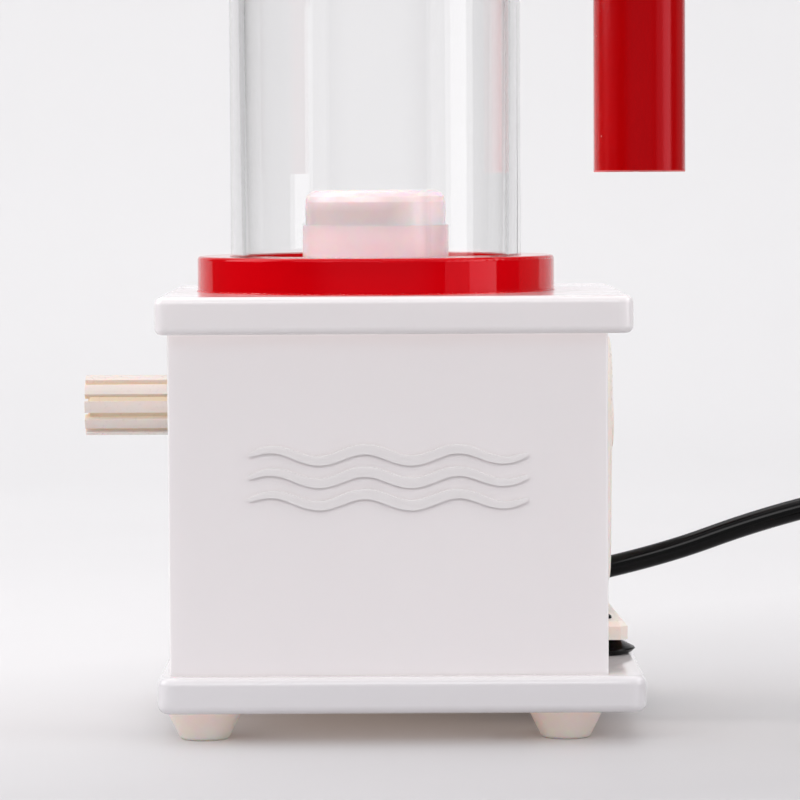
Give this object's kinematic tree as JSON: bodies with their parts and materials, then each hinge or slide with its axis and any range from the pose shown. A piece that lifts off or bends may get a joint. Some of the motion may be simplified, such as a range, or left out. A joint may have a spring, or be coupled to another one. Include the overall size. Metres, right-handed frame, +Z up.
{
  "type": "protein skimmer",
  "caption": "Tabletop foam fractionator: needle-wheel pump in a white box stand, clear reaction tube, lift-off collection cup and red outlet pipe with gate.",
  "frame": {"origin": "on the floor under the axis of the reaction tube", "axes": "+X towards the outlet pipe and the power cord, +Y to the rear, +Z up"},
  "size_m": [0.4216, 0.184, 0.4468],
  "materials": {
    "white_acrylic": "polished cast acrylic, opal white",
    "clear_acrylic": "clear polished acrylic tube",
    "frosted_acrylic": "frosted clear acrylic tube",
    "frosted_cap": "translucent white moulded cap",
    "red_acrylic": "polished red acrylic",
    "red_pvc": "glossy red pipe",
    "white_acetal": "smooth white acetal",
    "milky_silicone": "milky translucent silicone rubber",
    "cream_plastic": "satin cream moulded plastic",
    "black_rubber": "smooth black rubber",
    "needle_plastic": "white moulded nylon",
    "magnet_black": "ferrite magnet in a black sleeve",
    "shaft_ceramic": "ground white ceramic",
    "steel_lamination": "stacked steel laminations",
    "copper_winding": "varnished copper winding",
    "stainless": "stainless steel",
    "cord_rubber": "satin black rubber sheath",
    "tie_plastic": "black plastic band",
    "plug_rubber": "satin black moulded plug",
    "plug_brass": "plated brass"
  },
  "bodies": {
    "stand": {"air_barb": "cream_plastic", "base_plate": "white_acrylic", "cord_coil": "cord_rubber", "cord_gland": "black_rubber", "cord_tie": "tie_plastic", "cover_screws": "stainless", "diffuser_collar": "frosted_acrylic", "front_panel": "white_acrylic", "front_waves": "white_acrylic", "gate_body": "red_acrylic", "intake_nipple": "cream_plastic", "left_panel": "white_acrylic", "lower_ring": "red_acrylic", "outlet_spigot": "red_pvc", "plug_body": "plug_rubber", "plug_pins": "plug_brass", "power_cord": "cord_rubber", "pump_cover": "cream_plastic", "pump_end_cap": "cream_plastic", "pump_foot": "cream_plastic", "pump_motor_housing": "cream_plastic", "pump_seal": "black_rubber", "reaction_tube": "clear_acrylic", "rear_panel": "white_acrylic", "riser_bushing": "white_acrylic", "rotor_shaft": "shaft_ceramic", "rubber_feet": "milky_silicone", "shaft_bushings": "black_rubber", "stator_coils": "copper_winding", "stator_core": "steel_lamination", "suction_cups": "black_rubber", "top_plate": "white_acrylic", "upper_ring": "red_acrylic"},
    "rotor": {"rotor_magnet": "magnet_black", "needle_wheel": "needle_plastic"},
    "bubble_cap": {"diffuser_cap": "frosted_cap"},
    "gate": {"gate_blade": "white_acrylic", "gate_grip": "red_acrylic"},
    "swivel": {"outlet_elbow": "red_pvc", "drop_pipe": "red_pvc"},
    "cup": {"cup_floor": "red_acrylic", "cup_spigot": "red_acrylic", "cup_seal": "black_rubber", "neck_tube": "clear_acrylic", "cup_wall": "clear_acrylic", "drain_body": "red_pvc"},
    "lid": {"cup_lid": "red_acrylic", "lid_knob": "red_acrylic"},
    "drain_cock": {"drain_plug": "white_acetal", "drain_retainer": "white_acetal", "drain_lever": "red_pvc"}
  },
  "joints": [
    {"name": "rotor_spin", "type": "hinge", "parent": "stand", "child": "rotor", "pos_m": [0.03, 0.02, 0.1072], "axis": [1, 0, 0], "continuous": true},
    {"name": "cap_lift", "type": "slide", "parent": "stand", "child": "bubble_cap", "axis": [0, 0, 1], "range_m": [0, 0.03]},
    {"name": "gate_lift", "type": "slide", "parent": "stand", "child": "gate", "axis": [0, 0, 1], "range_m": [0, 0.028]},
    {"name": "outlet_swivel", "type": "hinge", "parent": "stand", "child": "swivel", "pos_m": [0.0911, 0, 0.29], "axis": [1, 0, 0], "range_deg": [-90, 90]},
    {"name": "cup_lift", "type": "slide", "parent": "stand", "child": "cup", "axis": [0, 0, 1], "range_m": [0, 0.06]},
    {"name": "lid_lift", "type": "slide", "parent": "cup", "child": "lid", "axis": [0, 0, 1], "range_m": [0, 0.05]},
    {"name": "drain_turn", "type": "hinge", "parent": "cup", "child": "drain_cock", "pos_m": [-0.079, 0, 0.349], "axis": [0, 0, 1], "range_deg": [0, 90]}
  ]
}
